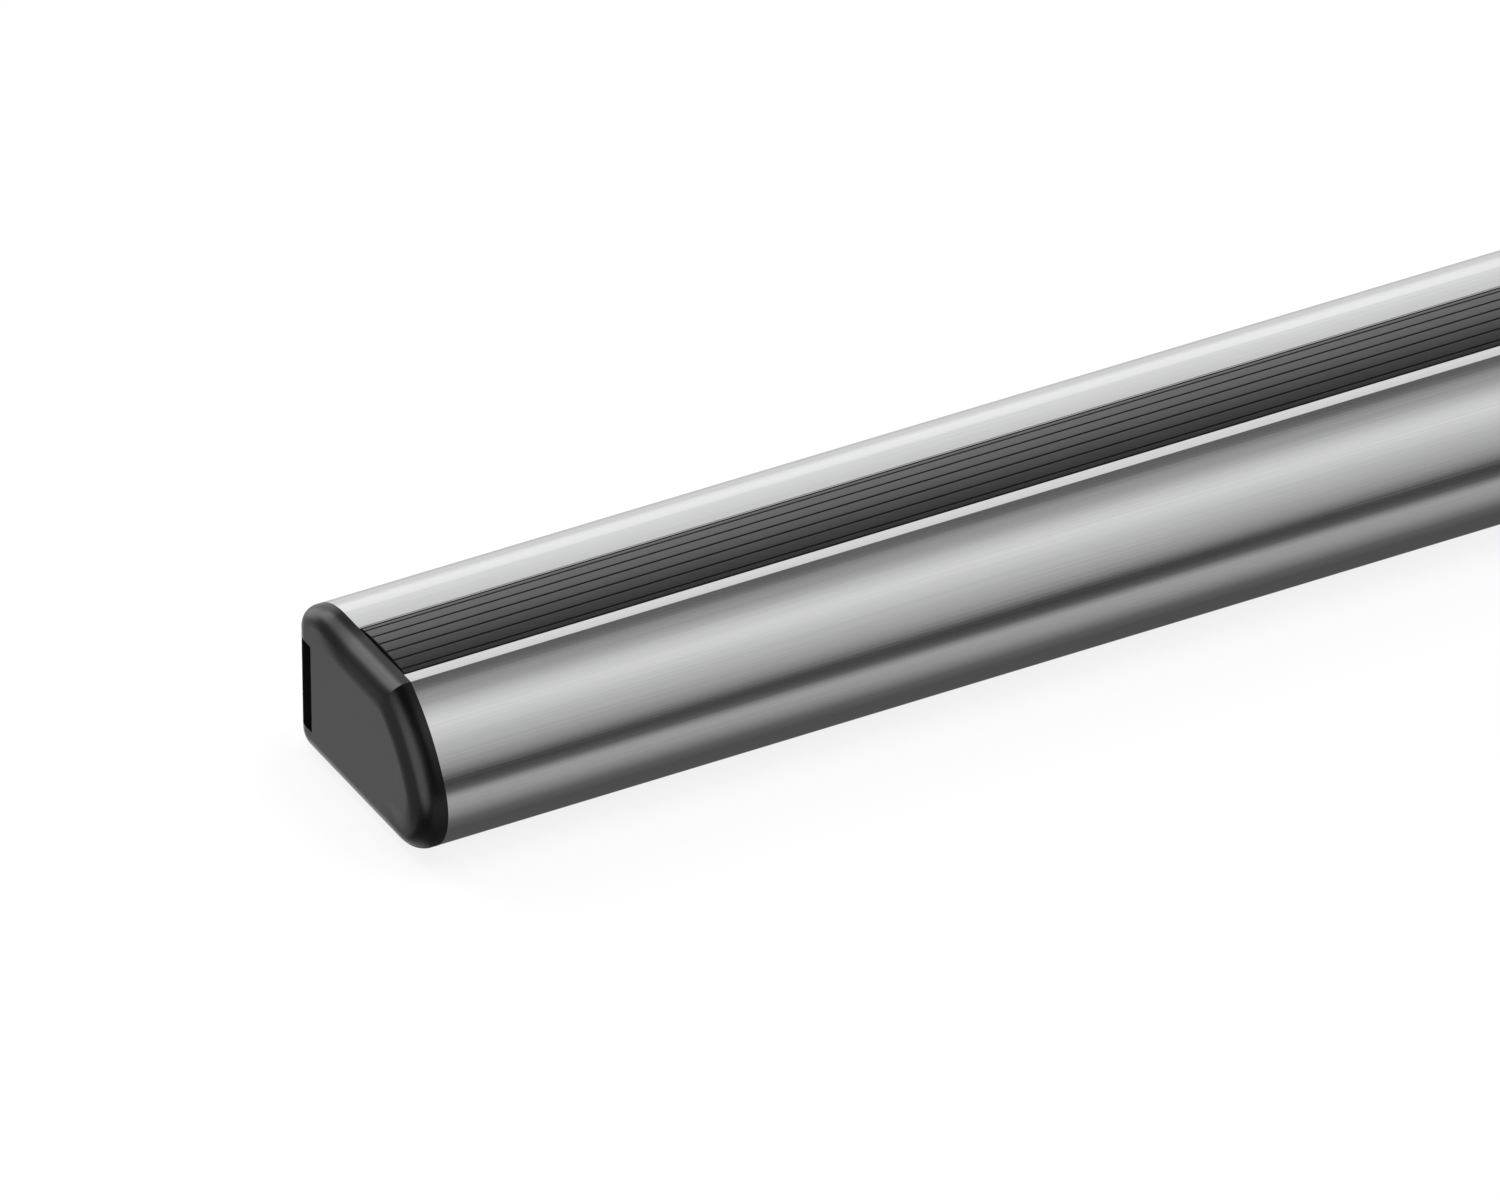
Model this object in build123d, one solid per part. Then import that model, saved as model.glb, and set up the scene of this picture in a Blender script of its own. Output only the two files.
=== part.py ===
# Crossbar of a roof rack. A hollow aluminium extrusion has a flat underside, a curved front that
# meets the top at a sharp edge, and three slots: one along the top, filled by a ribbed rubber strip,
# one in the rear face and one in the underside for the feet. Each end has a moulded cap, and a notch
# in the cap's rear edge, in line with the rear slot, is closed by a soft plug.
# Sizes are in millimetres and angles in degrees. X runs along the bar, Y points to its rear and Z up.
# The origin is in the middle of the underside.
from build123d import *
import math
import os

# Overall sizes
overall_length = 1200.0
bar_width = 60.0
bar_height = 38.4

# Outer form of the section; the slope is how steeply the front falls away at the sharp edge
front_land = 3.3
front_slope_angle = 33.35
nose_radius = 14.0
rear_bottom_radius = 5.1
rear_top_width = 13.0
rear_top_drop = 8.2
rear_corner_radius = 6.0

# Walls of the extrusion
skin = 2.0
web = 1.8
lip = 2.2
rear_corner_wall = 4.0
cavity_corner_radius = 1.0
slot_corner_radius = 0.6
mouth_edge_radius = 0.3

# Slots: the top slot and the foot slot share one inner width, so their side walls are one web
slot_width = 26.4
top_mouth = 20.4
top_slot_depth = 7.0
foot_mouth = 12.0
foot_slot_depth = 7.0
rear_mouth = 11.0
rear_slot_height = 22.0
rear_slot_depth = 7.1
rear_slot_bottom = 6.0

# Rubber strip
strip_side_gap = 0.5
strip_end_gap = 0.4
strip_edge_drop = 0.05
strip_crown = 0.8
strip_plate = 2.6
strip_corner_radius = 0.12
groove_count = 6
groove_pitch = 3.36
groove_width = 0.4
groove_depth = 0.5
leg_thickness = 1.8
leg_drop = 2.2
leg_taper = 0.6
hook_reach = 1.1
hook_tip = 0.5

# End caps
cap_length = 5.3
cap_edge_radius = 4.0
cap_plate = 2.2
cap_wall = 2.2
spigot_length = 20.0
spigot_wall = 1.6
spigot_clearance = 0.25
spigot_lead = 0.5
spigot_lead_length = 1.5
blade_thickness = 2.0
blade_height = 20.0
cross_rib_count = 3
crush_rib_width = 1.0
crush_rib_length = 14.0
crush_rib_clearance = 0.05

# Soft plugs in the caps' notches
plug_clearance = 0.1
tongue_length = 16.0
tongue_clearance = 0.25
tongue_lead = 0.8

# Places worked out from the sizes above
bar_length = overall_length - 2 * cap_length
front_edge_y = -top_mouth / 2 - front_land
lip_z = bar_height - lip
top_slot_floor = lip_z - top_slot_depth
foot_slot_roof = lip + foot_slot_depth
web_outside = slot_width / 2 + web
rear_y = bar_width / 2
rear_slot_floor = rear_y - rear_slot_depth
rear_slot_top = rear_slot_bottom + rear_slot_height
rear_slot_middle = rear_slot_bottom + rear_slot_height / 2
beyond = 5.0

# Limits for telling points and directions apart
same_place = 0.001
smooth_turn = 0.05
fillet_share = 0.48


def angle_from(centre, point):
    """Direction from a centre to a point, in degrees from the section's first axis."""
    angle = math.degrees(math.atan2(point[1] - centre[1], point[0] - centre[0]))
    return angle % 360


def front_arc(corner, nose_centre):
    """Centre and radius of the front arc, which leaves the sharp edge at its slope and meets the nose."""
    slope = math.radians(front_slope_angle)
    outward = (-math.sin(slope), math.cos(slope))
    apart = (corner[0] - nose_centre[0], corner[1] - nose_centre[1])
    rise = apart[0] * outward[0] + apart[1] * outward[1]
    radius = (math.dist(corner, nose_centre) ** 2 - nose_radius**2) / (2 * (rise - nose_radius))
    return (corner[0] - radius * outward[0], corner[1] - radius * outward[1]), radius


def box_area(y_low, y_high, z_low, z_high):
    """A rectangle in the section, from its limits."""
    middle = ((y_low + y_high) / 2, (z_low + z_high) / 2)
    return Pos(*middle) * Rectangle(y_high - y_low, z_high - z_low)


def outer_section():
    """The bar's outline, which the caps share: flat below, curved in front, rounded at the rear."""
    corner = (front_edge_y, bar_height)
    nose_centre = (nose_radius - bar_width / 2, nose_radius)
    front_centre, front_radius = front_arc(corner, nose_centre)
    start = angle_from(front_centre, corner)
    joint = angle_from(front_centre, nose_centre)
    low_corner = (rear_y - rear_bottom_radius, rear_bottom_radius)
    rear_corner = (rear_y - rear_corner_radius, bar_height - rear_top_drop)
    rear_reach = rear_top_width**2 + rear_top_drop**2 - 2 * rear_top_width * rear_corner_radius
    rear_radius = rear_reach / (2 * (rear_top_drop - rear_corner_radius))
    rear_centre = (rear_y - rear_top_width, bar_height - rear_radius)
    rear_joint = angle_from(rear_centre, rear_corner)
    outline = [
        CenterArc(front_centre, front_radius, start, joint - start),
        CenterArc(nose_centre, nose_radius, joint, 270 - joint),
        Line((nose_centre[0], 0), (low_corner[0], 0)),
        CenterArc(low_corner, rear_bottom_radius, 270, 90),
        Line((rear_y, low_corner[1]), (rear_y, rear_corner[1])),
        CenterArc(rear_corner, rear_corner_radius, 0, rear_joint),
        CenterArc(rear_centre, rear_radius, rear_joint, 90 - rear_joint),
        Line((rear_centre[0], bar_height), corner),
    ]
    return make_face(outline)


def sharp_corners(area):
    """The corners where an area's outline turns, without those where it runs on smoothly."""
    corners = []
    for corner in area.vertices():
        tangents = []
        for edge in area.edges():
            tangents += [edge % end for end in (0, 1) if (edge @ end - Vector(corner)).length < same_place]
        if tangents[0].cross(tangents[1]).length > smooth_turn:
            corners.append(corner)
    return corners


def rounded(area, radius):
    """An area with its sharp corners rounded, as far as its shortest side allows."""
    shortest = min(edge.length for edge in area.edges())
    return fillet(sharp_corners(area), min(radius, fillet_share * shortest))


def front_cavity(inner):
    area = inner & box_area(-bar_width, -web_outside, 0, bar_height)
    return rounded(area, cavity_corner_radius)


def centre_cavity():
    half = slot_width / 2
    return rounded(box_area(-half, half, foot_slot_roof + web, top_slot_floor - web), cavity_corner_radius)


def rear_cavity(inner):
    area = inner & box_area(web_outside, rear_y - rear_corner_wall, 0, bar_height)
    area -= box_area(rear_slot_floor - web, bar_width, -beyond, rear_slot_top + web)
    return rounded(area, cavity_corner_radius)


def rear_slot_area(clearance):
    """The rear slot's inner space and mouth, narrowed on each side by a clearance."""
    inside = box_area(
        rear_slot_floor + clearance,
        rear_y - lip - clearance,
        rear_slot_bottom + clearance,
        rear_slot_top - clearance,
    )
    half = rear_mouth / 2 - clearance
    mouth = box_area(
        rear_y - lip - clearance - slot_corner_radius,
        rear_y + beyond,
        rear_slot_middle - half,
        rear_slot_middle + half,
    )
    return inside, mouth


def slot_areas():
    """The open slots: inner spaces with rounded corners, and mouths that run out of the bar."""
    half = slot_width / 2
    top_inside = rounded(box_area(-half, half, top_slot_floor, lip_z), slot_corner_radius)
    top_out = box_area(-top_mouth / 2, top_mouth / 2, lip_z - slot_corner_radius, bar_height + beyond)
    foot_inside = rounded(box_area(-half, half, lip, foot_slot_roof), slot_corner_radius)
    foot_out = box_area(-foot_mouth / 2, foot_mouth / 2, -beyond, lip + slot_corner_radius)
    rear_inside, rear_out = rear_slot_area(0)
    rear_inside = rounded(rear_inside, slot_corner_radius)
    return top_inside + top_out + foot_inside + foot_out + rear_inside + rear_out


def mouth_corners():
    """The places in the section where the slots' mouths meet the outside."""
    corners = []
    for side in (-1, 1):
        corners.append((side * top_mouth / 2, bar_height))
        corners.append((side * foot_mouth / 2, 0))
        corners.append((rear_y, rear_slot_middle + side * rear_mouth / 2))
    return corners


def bar_section(outer, cavities):
    section = outer - slot_areas()
    for cavity in cavities:
        section -= cavity
    edges = []
    for corner in section.vertices():
        if any(math.dist((corner.X, corner.Y), place) < same_place for place in mouth_corners()):
            edges.append(corner)
    return fillet(edges, mouth_edge_radius)


def strip_section():
    """The rubber strip: a crowned top with lengthwise grooves, and two legs that hook under the lips."""
    half = top_mouth / 2 - strip_side_gap
    edge_z = bar_height - strip_edge_drop
    underside = edge_z - strip_plate
    crown_radius = (half**2 + strip_crown**2) / (2 * strip_crown)
    crown_centre = edge_z + strip_crown - crown_radius
    leg_foot = lip_z - leg_drop
    hook_y = top_mouth / 2 + hook_reach
    right = [
        (half, edge_z),
        (half, lip_z),
        (hook_y, lip_z),
        (hook_y, lip_z - hook_tip),
        (half - leg_taper, leg_foot),
        (half - leg_thickness, leg_foot),
        (half - leg_thickness, underside),
    ]
    left = [(-y, z) for y, z in reversed(right)]
    corners = right + left
    outline = [Line(a, b) for a, b in zip(corners, corners[1:])]
    outline.append(ThreePointArc(left[-1], (0, edge_z + strip_crown), right[0]))
    section = make_face(outline)
    for number in range(groove_count):
        y = (number - (groove_count - 1) / 2) * groove_pitch
        top = crown_centre + math.sqrt(crown_radius**2 - y**2)
        round_z = top - groove_depth + groove_width / 2
        section -= Pos(y, round_z) * Circle(groove_width / 2)
        section -= box_area(y - groove_width / 2, y + groove_width / 2, round_z, top + beyond)
    tops = []
    for corner in section.vertices():
        if abs(math.dist((corner.X, corner.Y), (0, crown_centre)) - crown_radius) < same_place:
            tops.append(corner)
    return fillet(tops, strip_corner_radius)


def along_bar(area, start, length):
    """An area of the section carried along the bar from one place to another."""
    return extrude(Plane.YZ.offset(start) * area, length)


def spigot(area, start, ribs):
    """A hollow spigot that fits one cavity of the bar, with crush ribs that press on its walls."""
    outside = offset(area, -spigot_clearance)
    inside = offset(outside, -spigot_wall)
    tip_area = offset(outside, -spigot_lead)
    length = cap_length - cap_plate + spigot_length
    tip_start = start + length - spigot_lead_length
    solid = along_bar(outside, start, length - spigot_lead_length)
    tip_ends = [Plane.YZ.offset(tip_start) * outside, Plane.YZ.offset(start + length) * tip_area]
    solid += loft(tip_ends, ruled=True)
    reach = offset(area, -crush_rib_clearance)
    for rib in ribs:
        solid += along_bar(reach & rib, start, cap_length - cap_plate + crush_rib_length)
    return solid - along_bar(inside, start, length)


def upright_rib(y):
    return box_area(y - crush_rib_width / 2, y + crush_rib_width / 2, 0, bar_height)


def level_rib(z):
    return box_area(-bar_width / 2, bar_width / 2, z - crush_rib_width / 2, z + crush_rib_width / 2)


def rear_blade(rear, start):
    """The rear cavity's spigot: an upright blade with cross ribs that press on the cavity's walls."""
    low_wall = web_outside
    high_wall = rear_slot_floor - web
    middle = (low_wall + high_wall) / 2
    foot = rear.bounding_box().min.Y + spigot_clearance
    length = cap_length - cap_plate + spigot_length
    half = blade_thickness / 2
    blade = along_bar(box_area(middle - half, middle + half, foot, foot + blade_height), start, length)
    tip = blade.faces().sort_by(Axis.X)[-1]
    blade = chamfer(tip.edges(), spigot_lead)
    across = box_area(low_wall + crush_rib_clearance, high_wall - crush_rib_clearance, 0, bar_height)
    for number in range(cross_rib_count):
        z = foot + blade_height * (number + 0.5) / cross_rib_count
        blade += along_bar(across & level_rib(z), start, cap_length - cap_plate + crush_rib_length)
    return blade


def cap_body(outer):
    """The cap's outer form at the left end, with its end edge rounded all round."""
    start = -overall_length / 2
    body = along_bar(outer, start, cap_length)
    end_face = body.faces().sort_by(Axis.X)[0]
    return fillet(end_face.edges(), cap_edge_radius)


def notch_area(clearance):
    """The notch in the cap's rear edge, which is as high and deep as the rear slot."""
    return box_area(
        rear_slot_floor + clearance,
        rear_y + beyond,
        rear_slot_bottom + clearance,
        rear_slot_top - clearance,
    )


def end_cap(body, outer, cavities):
    start = -overall_length / 2
    front, centre, rear = cavities
    hollow = offset(outer, -cap_wall)
    hollow -= box_area(
        rear_slot_floor - cap_wall,
        rear_y + beyond,
        rear_slot_bottom - cap_wall,
        rear_slot_top + cap_wall,
    )
    pocket_start = start + cap_plate
    cap = body - along_bar(hollow, pocket_start, cap_length)
    cap -= along_bar(notch_area(0), start - beyond, cap_length + 2 * beyond)
    front_middle = front.bounding_box().center()
    centre_middle = centre.bounding_box().center()
    side = slot_width / 4
    cap += spigot(front, pocket_start, [upright_rib(front_middle.X), level_rib(front_middle.Y)])
    cap += spigot(centre, pocket_start, [upright_rib(-side), upright_rib(side), level_rib(centre_middle.Y)])
    return cap + rear_blade(rear, pocket_start)


def slot_plug(body):
    """The plug: a head that fills the notch flush with the cap, and a tongue in the rear slot."""
    start = -overall_length / 2
    head = body & along_bar(notch_area(plug_clearance), start - beyond, cap_length + beyond)
    inside, mouth = rear_slot_area(tongue_clearance)
    mouth &= box_area(0, rear_y - tongue_clearance, 0, bar_height)
    tongue = along_bar(inside + mouth, start + cap_length, tongue_length)
    tip = tongue.faces().sort_by(Axis.X)[-1]
    tongue = chamfer(tip.edges(), tongue_lead)
    return head + tongue


def build():
    outer = outer_section()
    inner = offset(outer, -skin)
    front = front_cavity(inner)
    centre = centre_cavity()
    rear = rear_cavity(inner)
    strip_length = bar_length - 2 * strip_end_gap
    body = cap_body(outer)
    left_cap = end_cap(body, outer, [front, centre, rear])
    left_plug = slot_plug(body)
    return {
        "bar_extrusion": along_bar(bar_section(outer, [front, centre, rear]), -bar_length / 2, bar_length),
        "top_strip": along_bar(strip_section(), -strip_length / 2, strip_length),
        "end_cap_left": left_cap,
        "end_cap_right": mirror(left_cap, Plane.YZ),
        "rear_slot_plug_left": left_plug,
        "rear_slot_plug_right": mirror(left_plug, Plane.YZ),
    }


os.makedirs("parts", exist_ok=True)
for name, solid in build().items():
    export_step(solid, f"parts/{name}.step")
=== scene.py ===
# Looks of the roof rack crossbar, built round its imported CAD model.
# Everything is in metres in the model's own frame: X along the bar, Y to its rear, Z up.
# The caps and plugs are the CAD's own nodes with better materials. The extrusion and its rubber strip
# are drawn again with finer arcs, because their long faces show every facet of a coarse one.
import math
import bpy
from mathutils import Matrix, Vector


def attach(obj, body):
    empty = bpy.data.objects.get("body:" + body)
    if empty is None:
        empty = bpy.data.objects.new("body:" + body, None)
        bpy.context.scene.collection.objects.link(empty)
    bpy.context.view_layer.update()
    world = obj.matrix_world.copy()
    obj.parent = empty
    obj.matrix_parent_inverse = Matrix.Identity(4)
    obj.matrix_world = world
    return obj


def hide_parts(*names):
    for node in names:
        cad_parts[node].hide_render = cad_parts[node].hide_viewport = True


MM = 0.001

# The bar's sizes in millimetres, the same as the CAD model's
LENGTH = 1200.0
WIDTH = 60.0
HEIGHT = 38.4
CAP_LENGTH = 5.3
FRONT_LAND = 3.3
FRONT_SLOPE = 33.35
NOSE_RADIUS = 14.0
REAR_BOTTOM_RADIUS = 5.1
REAR_TOP_WIDTH = 13.0
REAR_TOP_DROP = 8.2
REAR_CORNER_RADIUS = 6.0
SKIN = 2.0
WEB = 1.8
LIP = 2.2
REAR_CORNER_WALL = 4.0
CAVITY_RADIUS = 1.0
SLOT_RADIUS = 0.6
MOUTH_RADIUS = 0.3
SLOT_WIDTH = 26.4
SLOT_DEPTH = 7.0
TOP_MOUTH = 20.4
FOOT_MOUTH = 12.0
REAR_MOUTH = 11.0
REAR_SLOT_BOTTOM = 6.0
REAR_SLOT_HEIGHT = 22.0
REAR_SLOT_DEPTH = 7.1

# The rubber strip's sizes in millimetres
STRIP_SIDE_GAP = 0.5
STRIP_END_GAP = 0.4
STRIP_EDGE_DROP = 0.05
STRIP_CROWN = 0.8
STRIP_PLATE = 2.6
STRIP_CORNER = 0.12
GROOVES = 6
GROOVE_PITCH = 3.36
GROOVE_WIDTH = 0.4
GROOVE_DEPTH = 0.5
LEG_THICKNESS = 1.8
LEG_DROP = 2.2
LEG_TAPER = 0.6
HOOK_REACH = 1.1
HOOK_TIP = 0.5

# Places worked out from the sizes
BAR_LENGTH = LENGTH - 2 * CAP_LENGTH
REAR = WIDTH / 2
LIP_Z = HEIGHT - LIP
WEB_OUTSIDE = SLOT_WIDTH / 2 + WEB
REAR_CAVITY_ROOF = (
    (REAR - REAR_CORNER_WALL, 33.4),
    (22.6, 35.0),
    (18.5, HEIGHT - SKIN),
)

# The soft shoulder inside the cap's rim, in millimetres: how wide it is, how many times a distance
# from the top counts, how far it falls, and how it blends at the sharp edge. It fades out towards
# the underside, by the slant times Y plus Z, and towards the rear, by Y.
SHOULDER_WIDTH = 9.5
SHOULDER_TOP_STRETCH = 1.18
SHOULDER_RISE = 1.2
SHOULDER_BLEND = 2.0
SHOULDER_SLANT = -0.7
SHOULDER_FADE = (12.0, 30.0)
SHOULDER_REAR = (6.0, 22.0)

# One step of an arc in degrees, the turn below which faces are shaded as one smooth surface, and how
# near in metres two points of an outline are joined
ARC_STEP = 3.0
SMOOTH_TURN = math.radians(25)
JOINING_DISTANCE = 0.002 * MM

# The patterns: how often they repeat in a metre, the part of a noise's range that shows, and how much
# the grain's cells add to it
DRIFT_SCALE = 160.0
MARKS_SCALE = 18.0
MARKS_RANGE = (0.35, 0.65)
SPECKS_RANGE = (0.6, 0.75)
CELL_SHARE = 0.5

# The finishes: two colours that a pattern blends, the least and most roughness, how often the pattern
# repeats in a metre and how much of that shows along X, the depth in metres and strength of its bump,
# and its shine
METAL_COLOURS = ((0.74, 0.745, 0.75), (0.87, 0.87, 0.87))
METAL_ROUGHNESS = (0.12, 0.14)
METAL_LINES = 4200.0
METAL_STRETCH = 0.003
METAL_BUMP = (0.00001, 0.4)
CAP_COLOURS = ((0.0034, 0.0034, 0.0035), (0.0044, 0.0044, 0.0046))
CAP_ROUGHNESS = (0.26, 0.29)
CAP_GRAINS = 3600.0
CAP_BUMP = (0.00002, 0.2)
STRIP_COLOURS = ((0.009, 0.0092, 0.0096), (0.014, 0.0142, 0.0148))
STRIP_ROUGHNESS = (0.30, 0.36)
STRIP_SHINE = 0.95
STRIP_LINES = 5200.0
STRIP_STRETCH = 0.01
STRIP_GRAINS = 5200.0
STRIP_BUMP = (0.00003, 0.35)
# The plugs are near black with almost no shine. This is painted shade: the flat black of an unlit opening
# at the cap's rear.
PLUG_SHADE_COLOURS = ((0.0008, 0.0008, 0.0008), (0.0014, 0.0014, 0.0014))
PLUG_ROUGHNESS = (0.7, 0.8)
PLUG_SHINE = 0.01
PLUG_GRAINS = 4200.0
PLUG_BUMP = (0.00003, 0.3)

# The camera: where it looks from in degrees, its roll, its lens, the pixels that show one millimetre,
# the size of the photograph, the pixel that shows the left end of the underside's middle line, and
# how near and far it sees in metres
VIEW_AZIMUTH = -27.78557
VIEW_HEIGHT = 33.25356
VIEW_ROLL = -0.60777
FOCAL_PIXELS = 38911.0
PIXELS_PER_MM = 4.68029
PHOTO_WIDTH = 1500
PHOTO_HEIGHT = 1200
SENSOR = 36.0
END_PIXEL = (361.928, 808.0)
CLIP_RANGE = (0.1, 100)

# The dark end wall beyond the cap: where it begins and is full, by the direction's X, and the share of
# light that it leaves. Soft boxes shine on the cap from there: direction, reach in degrees, brightness.
END_WALL = (-0.42, -0.60)
END_WALL_SHARE = 0.3
END_BOXES = (
    ((-0.93, -0.30, 0.10), 40.0, 1.7),
    ((-0.88, 0.34, -0.32), 24.0, 0.25),
    ((-0.32, 0.72, 0.62), 28.0, 2.1),
    ((0.00, 0.73, 0.68), 18.0, 1.2),
    ((-0.22, 0.97, 0.08), 24.0, 0.9),
    ((-0.08, 0.74, -0.67), 20.0, 0.6),
    ((-0.15, 0.36, -0.92), 24.0, 0.6),
)
# Dark cards over the cap: direction and reach in degrees, with the share of light that they leave
END_CARDS = (
    ((-0.25, -0.40, 0.88), 38.0),
    ((-0.10, -0.90, 0.42), 28.0),
)
END_CARD_SHARE = 0.04

# The studio round the bar, by the angle from the front over the top: how bright each direction is.
# A soft box stands over the camera and a white backdrop behind, with dark cards above and below.
STUDIO_BANDS = (
    (-180, 0.80),
    (-165, 0.62),
    (-140, 0.49),
    (-128, 0.09),
    (-75, 0.09),
    (-55, 0.13),
    (-38, 0.26),
    (-25, 0.36),
    (-8, 0.41),
    (2, 0.23),
    (7, 0.07),
    (12, 0.03),
    (18, 0.29),
    (23, 0.41),
    (30, 0.52),
    (36, 0.60),
    (41, 0.70),
    (47, 0.81),
    (54, 0.69),
    (62, 0.38),
    (68, 0.35),
    (72, 0.08),
    (75, 0.06),
    (78, 0.50),
    (90, 0.10),
    (128, 0.08),
    (138, 0.52),
    (143, 0.70),
    (147, 1.00),
    (163, 1.00),
    (180, 0.66),
)

# The floor: its size in metres, how far in millimetres it lies under the bar, what it sends on to the bar,
# and what the camera sees of it: a shade of its light and a glow of its own
FLOOR_SIZE = 24
FLOOR_DROP = 0.2
FLOOR_BOUNCE = (0.8, 0.8, 0.8, 1)
FLOOR_SHADE = (0.2, 0.2, 0.2, 1)
FLOOR_GLOW = 0.82
WHITE = (1, 1, 1, 1)

# The lamps: name, place and size in metres, power in watts
LAMPS = (
    ("overhead_lamp", (0, 0, 2.2), 2.0, 28),
    ("front_lamp", (-1.6, -2.0, 1.2), 1.6, 16),
)


def deselect_all():
    if bpy.context.object and bpy.context.object.mode != "OBJECT":
        bpy.ops.object.mode_set(mode="OBJECT")
    bpy.ops.object.select_all(action="DESELECT")


class SectionPen:
    """Draws closed outlines across the bar with lines and arcs, then carries them along it as one piece.
    Points are (y, z) in millimetres. Outlines run from Y towards Z round the material."""

    def __init__(self, name, start_x):
        self.name = name
        self.start_x = start_x
        self.place = Vector((0, 0))
        self.piece = None

    def begin(self, y, z):
        """Puts down the first point of an outline: a small plane, merged at its middle."""
        corner = Vector((self.start_x, y, z)) * MM
        if self.piece is None:
            deselect_all()
        bpy.ops.mesh.primitive_plane_add(size=MM, location=corner)
        if self.piece is None:
            self.piece = bpy.context.object
            self.piece.name = self.name
            self.piece.data.name = self.name
            bpy.ops.object.mode_set(mode="EDIT")
            bpy.ops.mesh.select_all(action="SELECT")
        bpy.ops.mesh.merge(type="CENTER")
        self.place = Vector((y, z))

    def line_to(self, y, z):
        step = Vector((0, y - self.place.x, z - self.place.y)) * MM
        bpy.ops.mesh.extrude_region_move(TRANSFORM_OT_translate={"value": step})
        self.place = Vector((y, z))

    def arc(self, centre, turn):
        """An arc about a centre, by an angle in degrees that is positive from Y towards Z."""
        steps = max(2, math.ceil(abs(turn) / ARC_STEP))
        pivot = Vector((self.start_x, centre[0], centre[1])) * MM
        bpy.ops.mesh.spin(steps=steps, angle=-math.radians(turn), center=pivot, axis=(1, 0, 0))
        out = self.place - Vector(centre)
        out.rotate(Matrix.Rotation(math.radians(turn), 2))
        self.place = Vector(centre) + out

    def corner(self, corner, onward, radius):
        """A line to a corner, which is rounded on the way to the next point."""
        if radius == 0:
            self.line_to(*corner)
            return
        corner = Vector(corner)
        coming = (corner - self.place).normalized()
        leaving = (Vector(onward) - corner).normalized()
        turn = math.atan2(coming.x * leaving.y - coming.y * leaving.x, coming.dot(leaving))
        self.line_to(*(corner - coming * radius * math.tan(abs(turn) / 2)))
        across = Vector((-coming.y, coming.x)) * math.copysign(radius, turn)
        self.arc(self.place + across, math.degrees(turn))

    def follow(self, corners, radii):
        """Lines through corners, each rounded by its own radius, as far as the way to the last one."""
        for number, radius in enumerate(radii):
            self.corner(corners[number], corners[number + 1], radius)

    def polygon(self, corners, radius):
        """A closed outline whose corners are all rounded."""
        middle = (Vector(corners[-1]) + Vector(corners[0])) / 2
        self.begin(*middle)
        self.follow(corners + [middle], [radius] * len(corners))
        self.line_to(*middle)

    def carry(self, length):
        """Joins the outlines' ends, fills the section and carries it along the bar."""
        bpy.ops.mesh.select_all(action="SELECT")
        bpy.ops.mesh.remove_doubles(threshold=JOINING_DISTANCE)
        bpy.ops.mesh.fill()
        bpy.ops.mesh.select_all(action="SELECT")
        bpy.ops.mesh.extrude_region_move(TRANSFORM_OT_translate={"value": (length * MM, 0, 0)})
        bpy.ops.mesh.select_all(action="SELECT")
        bpy.ops.mesh.normals_make_consistent(inside=False)
        bpy.ops.object.mode_set(mode="OBJECT")
        bpy.ops.object.transform_apply(location=True, rotation=True, scale=True)
        bpy.ops.object.shade_smooth_by_angle(angle=SMOOTH_TURN)
        return self.piece


def angle_of(centre, point):
    """Direction in degrees from a centre to a point, from Y towards Z."""
    return math.degrees(math.atan2(point[1] - centre[1], point[0] - centre[0])) % 360


def outline_arcs():
    """Centres and radii of the arcs that make the bar's outline."""
    sharp_edge = (-TOP_MOUTH / 2 - FRONT_LAND, HEIGHT)
    nose = (NOSE_RADIUS - REAR, NOSE_RADIUS)
    slope = math.radians(FRONT_SLOPE)
    outward = (-math.sin(slope), math.cos(slope))
    apart = (sharp_edge[0] - nose[0], sharp_edge[1] - nose[1])
    rise = apart[0] * outward[0] + apart[1] * outward[1]
    front_radius = (math.dist(sharp_edge, nose) ** 2 - NOSE_RADIUS**2) / (2 * (rise - NOSE_RADIUS))
    front = (sharp_edge[0] - front_radius * outward[0], sharp_edge[1] - front_radius * outward[1])
    reach = REAR_TOP_WIDTH**2 + REAR_TOP_DROP**2 - 2 * REAR_TOP_WIDTH * REAR_CORNER_RADIUS
    roof_radius = reach / (2 * (REAR_TOP_DROP - REAR_CORNER_RADIUS))
    return {
        "sharp_edge": sharp_edge,
        "nose": nose,
        "front": front,
        "front_radius": front_radius,
        "low_rear": (REAR - REAR_BOTTOM_RADIUS, REAR_BOTTOM_RADIUS),
        "high_rear": (REAR - REAR_CORNER_RADIUS, HEIGHT - REAR_TOP_DROP),
        "roof": (REAR - REAR_TOP_WIDTH, HEIGHT - roof_radius),
        "roof_radius": roof_radius,
    }


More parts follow.
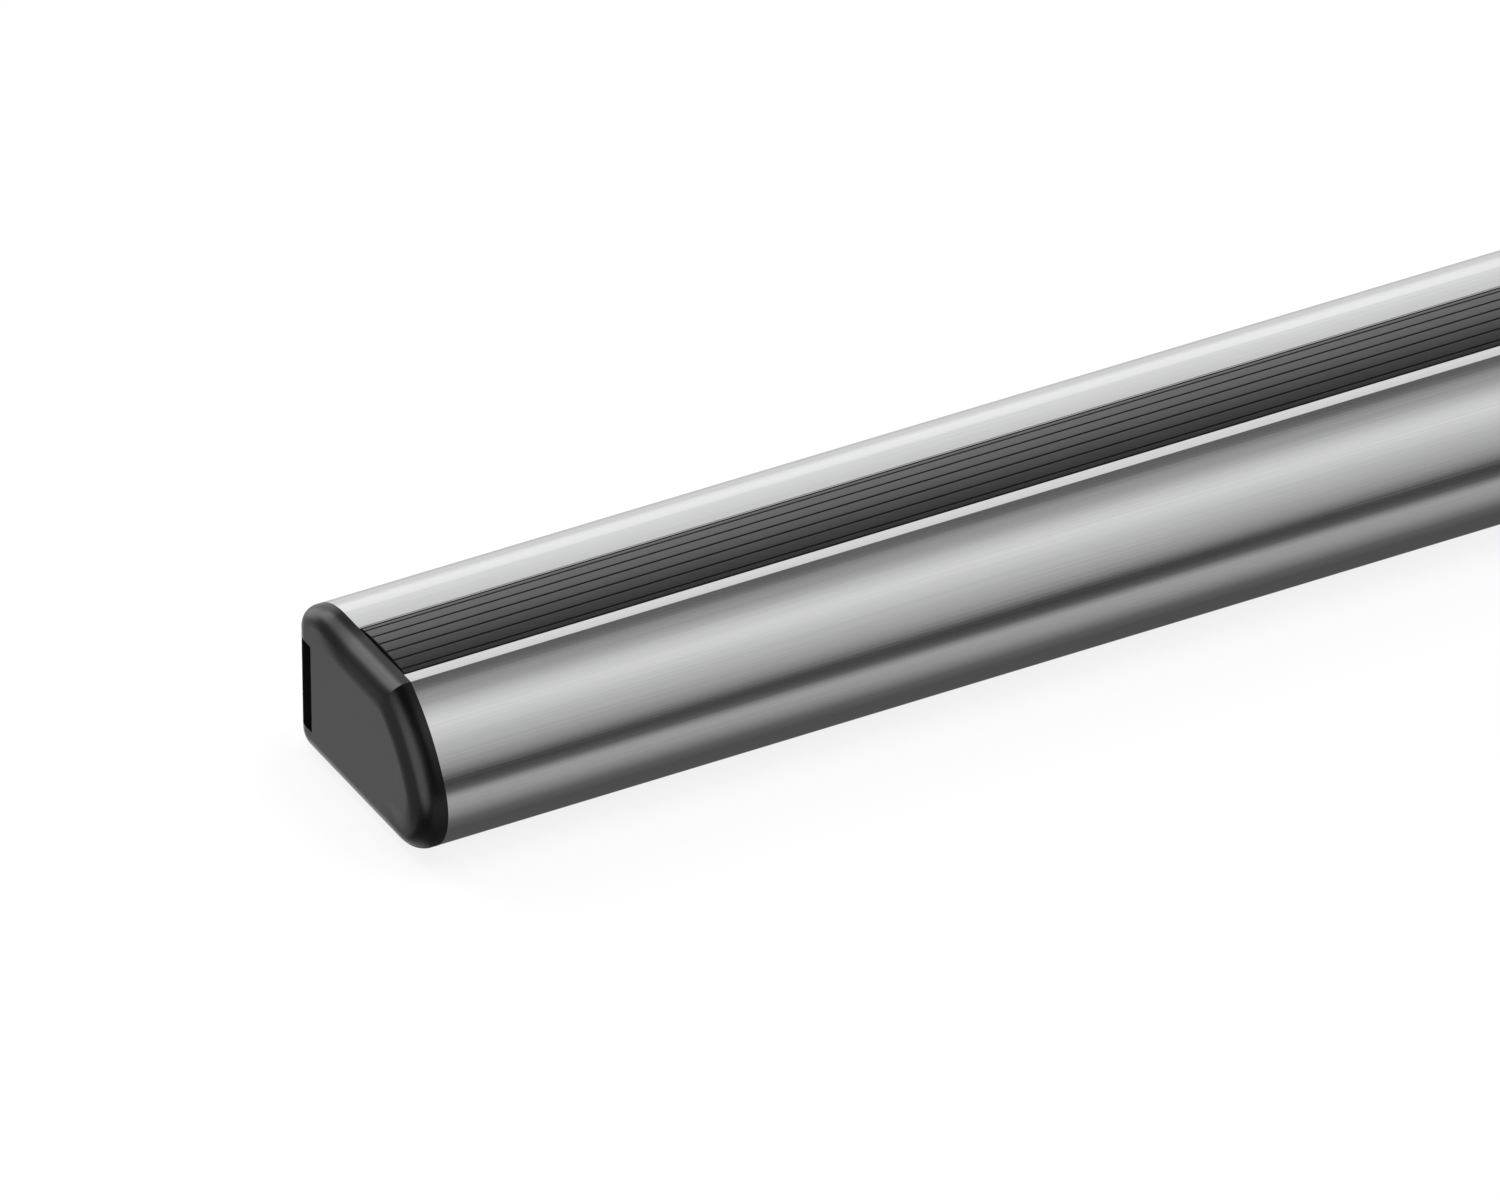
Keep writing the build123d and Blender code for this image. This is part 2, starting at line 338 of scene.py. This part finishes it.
def draw_bar_outside(pen, arcs):
    """The outside with its three slots, from the front of the underside round by the rear."""
    slot_radii = [MOUTH_RADIUS, 0, SLOT_RADIUS, SLOT_RADIUS, SLOT_RADIUS, SLOT_RADIUS, 0, MOUTH_RADIUS]
    half_slot = SLOT_WIDTH / 2
    half_foot = FOOT_MOUTH / 2
    foot_roof = LIP + SLOT_DEPTH
    low_rear_start = (arcs["low_rear"][0], 0)
    foot_slot = [
        (-half_foot, 0),
        (-half_foot, LIP),
        (-half_slot, LIP),
        (-half_slot, foot_roof),
        (half_slot, foot_roof),
        (half_slot, LIP),
        (half_foot, LIP),
        (half_foot, 0),
        low_rear_start,
    ]
    pen.begin(arcs["nose"][0], 0)
    pen.follow(foot_slot, slot_radii)
    pen.line_to(*low_rear_start)
    pen.arc(arcs["low_rear"], 90)
    middle = REAR_SLOT_BOTTOM + REAR_SLOT_HEIGHT / 2
    slot_top = REAR_SLOT_BOTTOM + REAR_SLOT_HEIGHT
    low_lip = middle - REAR_MOUTH / 2
    high_lip = middle + REAR_MOUTH / 2
    floor_y = REAR - REAR_SLOT_DEPTH
    high_rear_start = (REAR, arcs["high_rear"][1])
    rear_slot = [
        (REAR, low_lip),
        (REAR - LIP, low_lip),
        (REAR - LIP, REAR_SLOT_BOTTOM),
        (floor_y, REAR_SLOT_BOTTOM),
        (floor_y, slot_top),
        (REAR - LIP, slot_top),
        (REAR - LIP, high_lip),
        (REAR, high_lip),
        high_rear_start,
    ]
    pen.follow(rear_slot, slot_radii)
    pen.line_to(*high_rear_start)
    roof_joint = angle_of(arcs["roof"], arcs["high_rear"])
    pen.arc(arcs["high_rear"], roof_joint)
    pen.arc(arcs["roof"], 90 - roof_joint)
    half_top = TOP_MOUTH / 2
    floor_z = LIP_Z - SLOT_DEPTH
    top_slot = [
        (half_top, HEIGHT),
        (half_top, LIP_Z),
        (half_slot, LIP_Z),
        (half_slot, floor_z),
        (-half_slot, floor_z),
        (-half_slot, LIP_Z),
        (-half_top, LIP_Z),
        (-half_top, HEIGHT),
        arcs["sharp_edge"],
    ]
    pen.follow(top_slot, slot_radii)
    pen.line_to(*arcs["sharp_edge"])
    front_start = angle_of(arcs["front"], arcs["sharp_edge"])
    nose_joint = angle_of(arcs["front"], arcs["nose"])
    pen.arc(arcs["front"], nose_joint - front_start)
    pen.arc(arcs["nose"], 270 - nose_joint)


def draw_cavities(pen, arcs):
    """The three closed cavities inside the bar."""
    nose_joint = angle_of(arcs["front"], arcs["nose"])
    inner_radius = arcs["front_radius"] - SKIN
    rise = math.sqrt(inner_radius**2 - (-WEB_OUTSIDE - arcs["front"][0]) ** 2)
    front_top = (-WEB_OUTSIDE, arcs["front"][1] + rise)
    start = angle_of(arcs["front"], front_top)
    pen.begin(*front_top)
    pen.arc(arcs["front"], nose_joint - start)
    pen.arc(arcs["nose"], 270 - nose_joint)
    pen.line_to(-WEB_OUTSIDE, SKIN)
    pen.line_to(*front_top)
    half = SLOT_WIDTH / 2
    low = LIP + SLOT_DEPTH + WEB
    high = LIP_Z - SLOT_DEPTH - WEB
    pen.polygon([(half, low), (half, high), (-half, high), (-half, low)], CAVITY_RADIUS)
    rear_web = REAR - REAR_SLOT_DEPTH - WEB
    above_slot = REAR_SLOT_BOTTOM + REAR_SLOT_HEIGHT + WEB
    rear_corners = [
        (rear_web, SKIN),
        (rear_web, above_slot),
        (REAR_CAVITY_ROOF[0][0], above_slot),
        *REAR_CAVITY_ROOF,
        (WEB_OUTSIDE, HEIGHT - SKIN),
        (WEB_OUTSIDE, SKIN),
    ]
    pen.polygon(rear_corners, CAVITY_RADIUS)


def make_bar():
    arcs = outline_arcs()
    pen = SectionPen("crossbar_extrusion", -BAR_LENGTH / 2)
    draw_bar_outside(pen, arcs)
    draw_cavities(pen, arcs)
    return pen.carry(BAR_LENGTH)


def make_strip():
    """The rubber strip: hooked legs below, and a crowned top with round-bottomed grooves along it."""
    half = TOP_MOUTH / 2 - STRIP_SIDE_GAP
    edge_z = HEIGHT - STRIP_EDGE_DROP
    underside = edge_z - STRIP_PLATE
    crown_radius = (half**2 + STRIP_CROWN**2) / (2 * STRIP_CROWN)
    crown = Vector((0, edge_z + STRIP_CROWN - crown_radius))
    leg_foot = LIP_Z - LEG_DROP
    hook_y = TOP_MOUTH / 2 + HOOK_REACH
    right_leg = [
        (half - LEG_THICKNESS, underside),
        (half - LEG_THICKNESS, leg_foot),
        (half - LEG_TAPER, leg_foot),
        (hook_y, LIP_Z - HOOK_TIP),
        (hook_y, LIP_Z),
        (half, LIP_Z),
    ]

    def rib_corner(wall_y, side):
        """Centre of the round between the crown and a wall, and its direction from the crown's centre."""
        y = wall_y - side * STRIP_CORNER
        z = crown.y + math.sqrt((crown_radius - STRIP_CORNER) ** 2 - y**2)
        return (y, z), angle_of(crown, (y, z))

    pen = SectionPen("ribbed_strip", -BAR_LENGTH / 2 + STRIP_END_GAP)
    pen.begin(0, underside)
    for point in right_leg:
        pen.line_to(*point)
    centre, along = rib_corner(half, 1)
    pen.line_to(half, centre[1])
    pen.arc(centre, along)
    for number in reversed(range(GROOVES)):
        groove_y = (number - (GROOVES - 1) / 2) * GROOVE_PITCH
        groove_top = crown.y + math.sqrt(crown_radius**2 - groove_y**2)
        round_z = groove_top - GROOVE_DEPTH + GROOVE_WIDTH / 2
        centre, right_turn = rib_corner(groove_y + GROOVE_WIDTH / 2, -1)
        pen.arc(crown, right_turn - along)
        pen.arc(centre, 180 - right_turn)
        pen.line_to(groove_y + GROOVE_WIDTH / 2, round_z)
        pen.arc((groove_y, round_z), -180)
        centre, along = rib_corner(groove_y - GROOVE_WIDTH / 2, 1)
        pen.line_to(groove_y - GROOVE_WIDTH / 2, centre[1])
        pen.arc(centre, along)
    centre, last_turn = rib_corner(-half, -1)
    pen.arc(crown, last_turn - along)
    pen.arc(centre, 180 - last_turn)
    for y, z in reversed(right_leg):
        pen.line_to(-y, z)
    pen.line_to(0, underside)
    return pen.carry(BAR_LENGTH - 2 * STRIP_END_GAP)


def new_group(name, inputs, outputs):
    """A node group with its named sockets; inputs are (name, kind, default)."""
    group = bpy.data.node_groups.new(name, "ShaderNodeTree")
    for socket_name, kind, default in inputs:
        socket = group.interface.new_socket(socket_name, in_out="INPUT", socket_type=kind)
        if default is not None:
            socket.default_value = default
    for socket_name in outputs:
        group.interface.new_socket(socket_name, in_out="OUTPUT", socket_type="NodeSocketFloat")
    nodes = group.nodes
    return group, nodes.new("NodeGroupInput"), nodes.new("NodeGroupOutput")


def feed(group, source, socket):
    """Gives an input its value, from another socket or as a plain number."""
    if isinstance(source, (int, float)):
        socket.default_value = source
    else:
        group.links.new(source, socket)


def noise(group, vector, scale, detail):
    """A noise texture in a group; its scale is a socket or a plain number."""
    texture = group.nodes.new("ShaderNodeTexNoise")
    texture.inputs["Detail"].default_value = detail
    group.links.new(vector, texture.inputs["Vector"])
    feed(group, scale, texture.inputs["Scale"])
    return texture.outputs["Fac"]


def worked_value(group, operation, *operands):
    """One step of arithmetic in a group; each operand is a socket or a plain number."""
    step = group.nodes.new("ShaderNodeMath")
    step.operation = operation
    for number, operand in enumerate(operands):
        feed(group, operand, step.inputs[number])
    return step.outputs["Value"]


def spread(group, value, start, end, low=0.0, high=1.0):
    """An even change from one number to another while a value goes from its start to its end."""
    change = group.nodes.new("ShaderNodeMapRange")
    change.inputs["From Min"].default_value = start
    change.inputs["From Max"].default_value = end
    change.inputs["To Min"].default_value = low
    change.inputs["To Max"].default_value = high
    group.links.new(value, change.inputs["Value"])
    return change.outputs["Result"]


def eased(group, value, start, end, low=0.0, high=1.0):
    """The same change with a soft start and end."""
    result = spread(group, value, start, end, low, high)
    result.node.interpolation_type = "SMOOTHSTEP"
    return result


def drawn_lines_group():
    """Fine lines along X, as a die leaves on what is drawn or pressed through it."""
    inputs = [
        ("Vector", "NodeSocketVector", None),
        ("Lines Per Metre", "NodeSocketFloat", METAL_LINES),
        ("Length Stretch", "NodeSocketFloat", METAL_STRETCH),
    ]
    group, start, end = new_group("drawn_lines", inputs, ["Lines", "Drift"])
    stretch = group.nodes.new("ShaderNodeCombineXYZ")
    stretch.inputs["Y"].default_value = 1.0
    stretch.inputs["Z"].default_value = 1.0
    group.links.new(start.outputs["Length Stretch"], stretch.inputs["X"])
    stretched = group.nodes.new("ShaderNodeVectorMath")
    stretched.operation = "MULTIPLY"
    group.links.new(start.outputs["Vector"], stretched.inputs[0])
    group.links.new(stretch.outputs["Vector"], stretched.inputs[1])
    lines = noise(group, stretched.outputs["Vector"], start.outputs["Lines Per Metre"], detail=3.0)
    group.links.new(lines, end.inputs["Lines"])
    drift = noise(group, stretched.outputs["Vector"], DRIFT_SCALE, detail=1.0)
    group.links.new(drift, end.inputs["Drift"])
    return group


def moulded_grain_group():
    """The fine eroded grain of a mould, with a few deeper specks in it."""
    inputs = [
        ("Vector", "NodeSocketVector", None),
        ("Grains Per Metre", "NodeSocketFloat", CAP_GRAINS),
    ]
    group, start, end = new_group("moulded_grain", inputs, ["Height", "Specks"])
    grain = noise(group, start.outputs["Vector"], start.outputs["Grains Per Metre"], detail=2.0)
    cells = group.nodes.new("ShaderNodeTexVoronoi")
    group.links.new(start.outputs["Vector"], cells.inputs["Vector"])
    group.links.new(start.outputs["Grains Per Metre"], cells.inputs["Scale"])
    both = worked_value(group, "MULTIPLY_ADD", cells.outputs["Distance"], CELL_SHARE, grain)
    group.links.new(both, end.inputs["Height"])
    group.links.new(spread(group, grain, *SPECKS_RANGE), end.inputs["Specks"])
    return group


def distance_to(group, y, z, centre):
    """Distance across the bar from a centre to a place, in metres."""
    across = worked_value(group, "SUBTRACT", y, centre[0] * MM)
    upward = worked_value(group, "SUBTRACT", z, centre[1] * MM)
    across_squared = worked_value(group, "POWER", across, 2.0)
    upward_squared = worked_value(group, "POWER", upward, 2.0)
    return worked_value(group, "SQRT", worked_value(group, "ADD", across_squared, upward_squared))


def distance_from_front(group, y, z, arcs):
    """Distance in from the front's arc and the nose below it, and behind the nose from the underside."""
    front_radius = arcs["front_radius"] * MM
    from_front = worked_value(group, "SUBTRACT", front_radius, distance_to(group, y, z, arcs["front"]))
    nose_y = worked_value(group, "MINIMUM", y, arcs["nose"][0] * MM)
    to_nose = distance_to(group, nose_y, z, arcs["nose"])
    from_nose = worked_value(group, "SUBTRACT", NOSE_RADIUS * MM, to_nose)
    joint = math.radians(angle_of(arcs["front"], arcs["nose"]))
    across_joint = worked_value(group, "MULTIPLY", y, -math.sin(joint))
    past_joint = worked_value(group, "MULTIPLY_ADD", z, math.cos(joint), across_joint)
    joint_place = (arcs["nose"][1] * math.cos(joint) - arcs["nose"][0] * math.sin(joint)) * MM
    on_nose = worked_value(group, "GREATER_THAN", past_joint, joint_place)
    nose_gain = worked_value(group, "SUBTRACT", from_nose, from_front)
    return worked_value(group, "MULTIPLY_ADD", on_nose, nose_gain, from_front)


def cap_shoulder_group():
    """How far the end face falls away towards its upper and front edges, where it eases into the rim."""
    inputs = [
        ("Vector", "NodeSocketVector", None),
        ("Rise", "NodeSocketFloat", SHOULDER_RISE * MM),
    ]
    group, start, end = new_group("cap_shoulder", inputs, ["Height"])
    parts = group.nodes.new("ShaderNodeSeparateXYZ")
    group.links.new(start.outputs["Vector"], parts.inputs["Vector"])
    y = parts.outputs["Y"]
    z = parts.outputs["Z"]
    below_top = worked_value(group, "SUBTRACT", HEIGHT * MM, z)
    from_top = worked_value(group, "MULTIPLY", below_top, SHOULDER_TOP_STRETCH)
    from_front = distance_from_front(group, y, z, outline_arcs())
    nearest = worked_value(group, "SMOOTH_MIN", from_top, from_front, SHOULDER_BLEND * MM)
    shoulder = eased(group, nearest, 0.0, SHOULDER_WIDTH * MM)
    slant = worked_value(group, "MULTIPLY_ADD", y, SHOULDER_SLANT, z)
    upper_part = eased(group, slant, SHOULDER_FADE[0] * MM, SHOULDER_FADE[1] * MM)
    short_of_rear = eased(group, y, SHOULDER_REAR[0] * MM, SHOULDER_REAR[1] * MM, 1.0, 0.0)
    share = worked_value(group, "MULTIPLY", upper_part, short_of_rear)
    fall = worked_value(group, "SUBTRACT", shoulder, 1.0)
    lowered = worked_value(group, "MULTIPLY", fall, share)
    height = worked_value(group, "MULTIPLY", lowered, start.outputs["Rise"])
    group.links.new(height, end.inputs["Height"])
    return group


def handling_marks_group():
    """Broad, faint patches where hands and cloths have changed the sheen."""
    inputs = [("Vector", "NodeSocketVector", None)]
    group, start, end = new_group("handling_marks", inputs, ["Patches"])
    broad = noise(group, start.outputs["Vector"], MARKS_SCALE, detail=3.0)
    group.links.new(spread(group, broad, *MARKS_RANGE), end.inputs["Patches"])
    return group


class Finish:
    """One material: a Principled shader whose colour, roughness and bump come from patterns."""

    def __init__(self, name):
        self.material = bpy.data.materials.new(name)
        self.material.use_nodes = True
        self.tree = self.material.node_tree
        self.shader = self.tree.nodes["Principled BSDF"]
        self.coordinates = self.tree.nodes.new("ShaderNodeTexCoord").outputs["Object"]

    def place_group(self, group, **values):
        """A shared pattern on the piece's own coordinates, with this finish's values."""
        node = self.tree.nodes.new("ShaderNodeGroup")
        node.node_tree = group
        self.tree.links.new(self.coordinates, node.inputs["Vector"])
        for name, value in values.items():
            node.inputs[name.replace("_", " ")].default_value = value
        return node

    def blend_colours(self, mask, low, high):
        mix = self.tree.nodes.new("ShaderNodeMix")
        mix.data_type = "RGBA"
        mix.inputs["A"].default_value = (*low, 1)
        mix.inputs["B"].default_value = (*high, 1)
        self.tree.links.new(mask, mix.inputs["Factor"])
        self.tree.links.new(mix.outputs["Result"], self.shader.inputs["Base Color"])

    def vary_roughness(self, mask, low, high):
        roughness = spread(self.tree, mask, 0.0, 1.0, low, high)
        self.tree.links.new(roughness, self.shader.inputs["Roughness"])

    def raise_height(self, height, depth, strength):
        """A bump on top of those that the finish has already."""
        bump = self.tree.nodes.new("ShaderNodeBump")
        bump.inputs["Strength"].default_value = strength
        bump.inputs["Distance"].default_value = depth
        self.tree.links.new(height, bump.inputs["Height"])
        for link in list(self.shader.inputs["Normal"].links):
            self.tree.links.new(link.from_socket, bump.inputs["Normal"])
        self.tree.links.new(bump.outputs["Normal"], self.shader.inputs["Normal"])


def anodised_finish(lines_group, marks_group):
    finish = Finish("satin_anodised_aluminium")
    finish.shader.inputs["Metallic"].default_value = 1.0
    lines = finish.place_group(lines_group, Lines_Per_Metre=METAL_LINES, Length_Stretch=METAL_STRETCH)
    marks = finish.place_group(marks_group)
    finish.blend_colours(lines.outputs["Lines"], *METAL_COLOURS)
    finish.vary_roughness(marks.outputs["Patches"], *METAL_ROUGHNESS)
    finish.raise_height(lines.outputs["Lines"], *METAL_BUMP)
    return finish.material


def cap_finish(shoulder_group, grain_group, marks_group):
    finish = Finish("moulded_cap_plastic")
    shoulder = finish.place_group(shoulder_group, Rise=SHOULDER_RISE * MM)
    # The shoulder's height is in metres already
    finish.raise_height(shoulder.outputs["Height"], depth=1.0, strength=1.0)
    grain = finish.place_group(grain_group, Grains_Per_Metre=CAP_GRAINS)
    marks = finish.place_group(marks_group)
    finish.blend_colours(grain.outputs["Specks"], *CAP_COLOURS)
    finish.vary_roughness(marks.outputs["Patches"], *CAP_ROUGHNESS)
    finish.raise_height(grain.outputs["Height"], *CAP_BUMP)
    return finish.material


def strip_finish(lines_group, grain_group):
    finish = Finish("ribbed_strip_rubber")
    finish.shader.inputs["Specular IOR Level"].default_value = STRIP_SHINE
    lines = finish.place_group(lines_group, Lines_Per_Metre=STRIP_LINES, Length_Stretch=STRIP_STRETCH)
    grain = finish.place_group(grain_group, Grains_Per_Metre=STRIP_GRAINS)
    finish.blend_colours(lines.outputs["Drift"], *STRIP_COLOURS)
    finish.vary_roughness(grain.outputs["Specks"], *STRIP_ROUGHNESS)
    finish.raise_height(grain.outputs["Height"], *STRIP_BUMP)
    return finish.material


# The plugs' finish is painted shade. It is near black and almost without shine, so each plug shows the
# flat black of an unlit opening.
def plug_shade_finish(grain_group):
    finish = Finish("plug_painted_shade")
    finish.shader.inputs["Specular IOR Level"].default_value = PLUG_SHINE
    grain = finish.place_group(grain_group, Grains_Per_Metre=PLUG_GRAINS)
    finish.blend_colours(grain.outputs["Specks"], *PLUG_SHADE_COLOURS)
    finish.vary_roughness(grain.outputs["Specks"], *PLUG_ROUGHNESS)
    finish.raise_height(grain.outputs["Height"], *PLUG_BUMP)
    return finish.material


def paint(piece, material):
    piece.data.materials.clear()
    piece.data.materials.append(material)


def make_camera():
    """Sets the camera on the photograph's line of sight, at its distance and with its lens."""
    azimuth = math.radians(VIEW_AZIMUTH)
    height = math.radians(VIEW_HEIGHT)
    roll = math.radians(VIEW_ROLL)
    level_back = Vector((math.sin(azimuth), -math.cos(azimuth), 0))
    back = level_back * math.cos(height) + Vector((0, 0, math.sin(height)))
    level_right = Vector((math.cos(azimuth), math.sin(azimuth), 0))
    level_up = back.cross(level_right)
    right = level_right * math.cos(roll) + level_up * math.sin(roll)
    up = level_up * math.cos(roll) - level_right * math.sin(roll)
    distance = FOCAL_PIXELS / PIXELS_PER_MM
    left_end = Vector((-LENGTH / 2, 0, 0))
    across = (END_PIXEL[0] - PHOTO_WIDTH / 2) / PIXELS_PER_MM
    upward = (PHOTO_HEIGHT / 2 - END_PIXEL[1]) / PIXELS_PER_MM
    place = (left_end - right * across - up * upward + back * distance) * MM
    data = bpy.data.cameras.new("photo_camera")
    data.sensor_width = SENSOR
    data.lens = FOCAL_PIXELS * SENSOR / PHOTO_WIDTH
    data.clip_start = CLIP_RANGE[0]
    data.clip_end = CLIP_RANGE[1]
    camera = bpy.data.objects.new("photo_camera", data)
    turned = Matrix((right, up, back)).transposed().to_4x4()
    camera.matrix_world = Matrix.Translation(place) @ turned
    bpy.context.scene.collection.objects.link(camera)
    bpy.context.scene.camera = camera


def end_with(tree, to_camera, to_others, output_kind):
    """Ends a world or a material: one shader is for the camera, and another for all other light."""
    seen = tree.nodes.new("ShaderNodeMixShader")
    light_path = tree.nodes.new("ShaderNodeLightPath")
    tree.links.new(light_path.outputs["Is Camera Ray"], seen.inputs["Fac"])
    tree.links.new(to_others, seen.inputs[1])
    tree.links.new(to_camera, seen.inputs[2])
    output = tree.nodes.new(output_kind)
    tree.links.new(seen.outputs["Shader"], output.inputs["Surface"])


def spot(tree, directions, middle, reach, outside, inside):
    """A round soft spot of the world: one number outside its reach and another in its middle."""
    facing = tree.nodes.new("ShaderNodeVectorMath")
    facing.operation = "DOT_PRODUCT"
    facing.inputs[1].default_value = Vector(middle).normalized()
    tree.links.new(directions, facing.inputs[0])
    return eased(tree, facing.outputs["Value"], math.cos(math.radians(reach)), 1.0, outside, inside)


def band_brightness(tree, y, z):
    """The bands' brightness, by the angle of a direction from the front over the top."""
    forward = worked_value(tree, "MULTIPLY", y, -1.0)
    angle = worked_value(tree, "ARCTAN2", z, forward)
    bands = tree.nodes.new("ShaderNodeValToRGB")
    ramp = bands.color_ramp
    while len(ramp.elements) < len(STUDIO_BANDS):
        ramp.elements.new(0.5)
    for element, (degrees, brightness) in zip(ramp.elements, STUDIO_BANDS):
        element.position = (degrees + 180) / 360
        element.color = (brightness, brightness, brightness, 1)
    tree.links.new(spread(tree, angle, -math.pi, math.pi), bands.inputs["Fac"])
    return bands.outputs["Color"]


def make_studio():
    """The world: white to the camera, and to all else the bands of soft light and dark cards that the
    metal shows."""
    world = bpy.data.worlds.new("studio")
    bpy.context.scene.world = world
    world.use_nodes = True
    tree = world.node_tree
    tree.nodes.clear()
    directions = tree.nodes.new("ShaderNodeTexCoord").outputs["Generated"]
    parts = tree.nodes.new("ShaderNodeSeparateXYZ")
    tree.links.new(directions, parts.inputs["Vector"])
    bands = band_brightness(tree, parts.outputs["Y"], parts.outputs["Z"])
    end_wall = eased(tree, parts.outputs["X"], *END_WALL, 1.0, END_WALL_SHARE)
    brightness = worked_value(tree, "MULTIPLY", bands, end_wall)
    for direction, reach in END_CARDS:
        shade = spot(tree, directions, direction, reach, 1.0, END_CARD_SHARE)
        brightness = worked_value(tree, "MULTIPLY", brightness, shade)
    for direction, reach, box_brightness in END_BOXES:
        glow = spot(tree, directions, direction, reach, 0.0, box_brightness)
        brightness = worked_value(tree, "ADD", brightness, glow)
    room = tree.nodes.new("ShaderNodeBackground")
    tree.links.new(brightness, room.inputs["Color"])
    backdrop = tree.nodes.new("ShaderNodeBackground")
    backdrop.inputs["Color"].default_value = WHITE
    end_with(tree, backdrop.outputs["Background"], room.outputs["Background"], "ShaderNodeOutputWorld")


def make_floor():
    """A plain pale floor under the bar, near white to the camera, with the bar's soft shadow. Reflections
    show the studio's bands in its place."""
    deselect_all()
    bpy.ops.mesh.primitive_plane_add(size=FLOOR_SIZE, location=(0, 0, -FLOOR_DROP * MM))
    floor = bpy.context.object
    floor.name = "studio_floor"
    material = bpy.data.materials.new("white_table")
    material.use_nodes = True
    tree = material.node_tree
    tree.nodes.clear()
    bounce = tree.nodes.new("ShaderNodeBsdfDiffuse")
    bounce.inputs["Color"].default_value = FLOOR_BOUNCE
    shaded = tree.nodes.new("ShaderNodeBsdfDiffuse")
    shaded.inputs["Color"].default_value = FLOOR_SHADE
    glow = tree.nodes.new("ShaderNodeEmission")
    glow.inputs["Color"].default_value = WHITE
    glow.inputs["Strength"].default_value = FLOOR_GLOW
    white = tree.nodes.new("ShaderNodeAddShader")
    tree.links.new(shaded.outputs["BSDF"], white.inputs[0])
    tree.links.new(glow.outputs["Emission"], white.inputs[1])
    end_with(tree, white.outputs["Shader"], bounce.outputs["BSDF"], "ShaderNodeOutputMaterial")
    paint(floor, material)
    floor.visible_glossy = False


def soft_lamp(name, place, size, power):
    """A wide soft lamp aimed at the bar. It lights colours. The studio's bands make the reflections."""
    data = bpy.data.lights.new(name, "AREA")
    data.shape = "SQUARE"
    data.size = size
    data.energy = power
    lamp = bpy.data.objects.new(name, data)
    lamp.location = place
    lamp.rotation_mode = "QUATERNION"
    lamp.rotation_quaternion = (-Vector(place)).to_track_quat("-Z", "Y")
    lamp.visible_camera = False
    lamp.visible_glossy = False
    bpy.context.scene.collection.objects.link(lamp)


bpy.context.scene.view_settings.view_transform = "Standard"
deselect_all()
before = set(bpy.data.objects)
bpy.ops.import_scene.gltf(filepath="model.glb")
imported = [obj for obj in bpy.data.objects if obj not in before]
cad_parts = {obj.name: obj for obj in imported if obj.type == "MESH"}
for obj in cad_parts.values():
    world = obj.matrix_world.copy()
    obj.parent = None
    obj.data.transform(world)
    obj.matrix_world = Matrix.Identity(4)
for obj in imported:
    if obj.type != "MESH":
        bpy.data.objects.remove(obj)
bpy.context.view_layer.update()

drawn_lines = drawn_lines_group()
moulded_grain = moulded_grain_group()
handling_marks = handling_marks_group()
cap_shoulder = cap_shoulder_group()
aluminium = anodised_finish(drawn_lines, handling_marks)
cap_plastic = cap_finish(cap_shoulder, moulded_grain, handling_marks)
strip_rubber = strip_finish(drawn_lines, moulded_grain)
plug_shade = plug_shade_finish(moulded_grain)

bar = make_bar()
paint(bar, aluminium)
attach(bar, "root")
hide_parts("bar_extrusion")

strip = make_strip()
paint(strip, strip_rubber)
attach(strip, "root")
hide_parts("top_strip")

for side in ("left", "right"):
    paint(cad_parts[f"end_cap_{side}"], cap_plastic)
    paint(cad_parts[f"rear_slot_plug_{side}"], plug_shade)

make_studio()
make_floor()
for lamp_values in LAMPS:
    soft_lamp(*lamp_values)
make_camera()
deselect_all()
